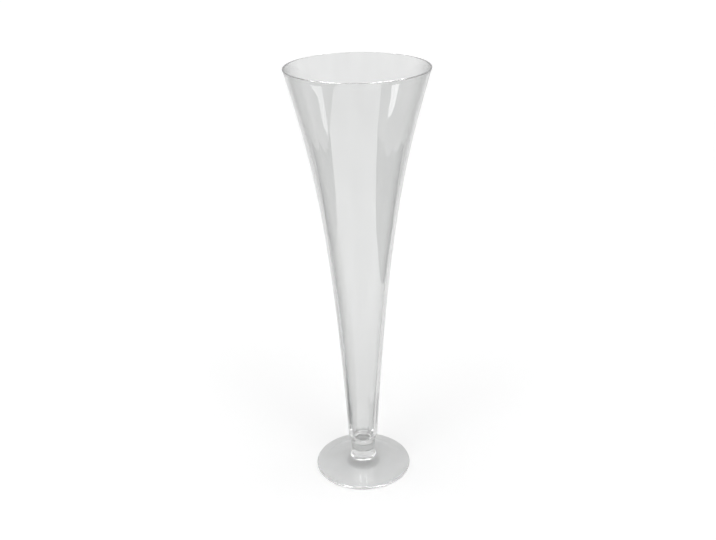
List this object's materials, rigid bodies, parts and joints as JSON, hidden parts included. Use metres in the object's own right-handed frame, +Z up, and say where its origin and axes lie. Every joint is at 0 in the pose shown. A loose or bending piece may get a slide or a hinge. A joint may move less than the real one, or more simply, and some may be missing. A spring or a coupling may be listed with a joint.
{
  "type": "flute vase",
  "caption": "Tall clear glass flower vase shaped like a champagne flute: a flared trumpet bowl on a short solid stem and a round standing foot.",
  "frame": {"origin": "centre of the foot on the surface the vase stands on", "axes": "+Z up along the vase's turning axis; X and Y are any two directions across it"},
  "size_m": [0.189, 0.189, 0.6],
  "materials": {
    "bowl_glass": "clear fire-polished blown glass",
    "stem_glass": "clear solid glass, faintly green where thick",
    "foot_glass": "clear fire-polished glass, faintly green"
  },
  "bodies": {
    "root": {"bowl": "bowl_glass", "stem": "stem_glass", "foot": "foot_glass"}
  },
  "joints": []
}
